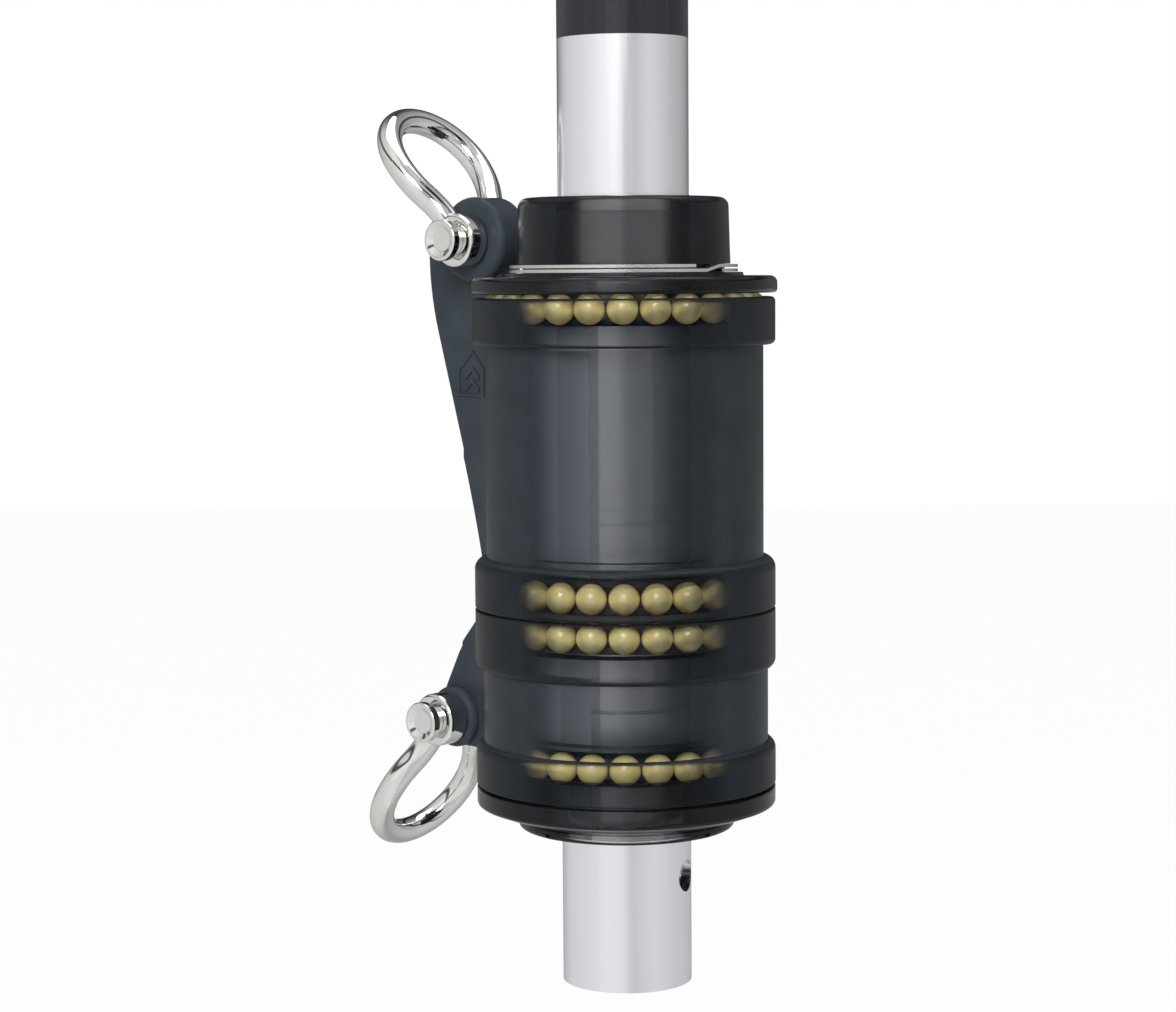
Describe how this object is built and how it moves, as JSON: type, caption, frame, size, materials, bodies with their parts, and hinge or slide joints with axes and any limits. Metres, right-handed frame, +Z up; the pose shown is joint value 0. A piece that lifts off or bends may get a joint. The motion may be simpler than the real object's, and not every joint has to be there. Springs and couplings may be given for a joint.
{
  "type": "furling swivel",
  "caption": "Ball-bearing furling swivel that slides on a foil extrusion; its upper and lower housings turn apart and each carries a bow shackle.",
  "frame": {"origin": "on the stay axis at the lower end of the foil", "axes": "+Z up the stay; -Y towards the foil's nose, +Y towards its luff grooves; the ears point to -X and +Y"},
  "size_m": [0.1107, 0.103, 0.264],
  "materials": {
    "silver_foil": "satin anodised",
    "black_foil": "black anodised",
    "link_aluminium": "mill finish",
    "fastener_steel": "turned stainless",
    "ring_steel": "rolled stainless",
    "polished_steel": "mirror-polished stainless",
    "smoked_housing": "smoky moulded, see-through",
    "smoked_sleeve": "smoky, see-through",
    "black_cover": "black, satin gloss",
    "ball_plastic": "ground bearing plastic",
    "race_plastic": "turned",
    "bushing_plastic": "moulded"
  },
  "bodies": {
    "foil": {"foil_lower": "silver_foil", "foil_upper": "black_foil", "foil_link_bars": "link_aluminium", "foil_link_screws": "fastener_steel"},
    "sleeve": {"inner_sleeve": "smoked_sleeve", "top_cover": "black_cover", "top_retaining_ring": "ring_steel", "bottom_cap": "black_cover", "bottom_lock_ring": "black_cover", "centre_race_ring": "race_plastic", "upper_foil_bushing": "bushing_plastic", "lower_foil_bushing": "bushing_plastic", "bushing_spacer": "bushing_plastic", "bushing_circlip": "ring_steel"},
    "upper_housing": {"upper_housing": "smoked_housing", "upper_pin_bush": "fastener_steel"},
    "lower_housing": {"lower_housing": "smoked_housing", "lower_pin_bush": "fastener_steel"},
    "ball_row_1": {"ball_row_1": "ball_plastic"},
    "ball_row_2": {"ball_row_2": "ball_plastic"},
    "ball_row_3": {"ball_row_3": "ball_plastic"},
    "ball_row_4": {"ball_row_4": "ball_plastic"},
    "upper_shackle": {"upper_shackle_bow": "polished_steel", "upper_shackle_pin": "polished_steel"},
    "lower_shackle": {"lower_shackle_bow": "polished_steel", "lower_shackle_pin": "polished_steel"}
  },
  "joints": [
    {"name": "sleeve_slide", "type": "slide", "parent": "foil", "child": "sleeve", "axis": [0, 0, 1], "range_m": [-0.035, 0.055]},
    {"name": "upper_swivel", "type": "hinge", "parent": "sleeve", "child": "upper_housing", "pos_m": [0, 0, 0.1385], "axis": [0, 0, 1], "continuous": true},
    {"name": "lower_swivel", "type": "hinge", "parent": "sleeve", "child": "lower_housing", "pos_m": [0, 0, 0.075], "axis": [0, 0, 1], "continuous": true},
    {"name": "ball_row_1_orbit", "type": "hinge", "parent": "sleeve", "child": "ball_row_1", "pos_m": [0, 0, 0.1761], "axis": [0, 0, 1], "continuous": true},
    {"name": "ball_row_2_orbit", "type": "hinge", "parent": "sleeve", "child": "ball_row_2", "pos_m": [0, 0, 0.1037], "axis": [0, 0, 1], "continuous": true},
    {"name": "ball_row_3_orbit", "type": "hinge", "parent": "sleeve", "child": "ball_row_3", "pos_m": [0, 0, 0.0938], "axis": [0, 0, 1], "continuous": true},
    {"name": "ball_row_4_orbit", "type": "hinge", "parent": "sleeve", "child": "ball_row_4", "pos_m": [0, 0, 0.0606], "axis": [0, 0, 1], "continuous": true},
    {"name": "upper_shackle_swing", "type": "hinge", "parent": "upper_housing", "child": "upper_shackle", "pos_m": [-0.037, 0.03105, 0.1939], "axis": [0.6428, 0.766, 0], "range_deg": [-117, 76]},
    {"name": "lower_shackle_swing", "type": "hinge", "parent": "lower_housing", "child": "lower_shackle", "pos_m": [-0.04405, 0.03696, 0.0636], "axis": [0.6428, 0.766, 0], "range_deg": [-75, 154]}
  ],
  "couplings": [
    {"joint": "ball_row_1_orbit", "follows": "upper_swivel", "ratio": 0.5},
    {"joint": "ball_row_2_orbit", "follows": "upper_swivel", "ratio": 0.5602},
    {"joint": "ball_row_3_orbit", "follows": "lower_swivel", "ratio": 0.5602},
    {"joint": "ball_row_4_orbit", "follows": "lower_swivel", "ratio": 0.5}
  ]
}
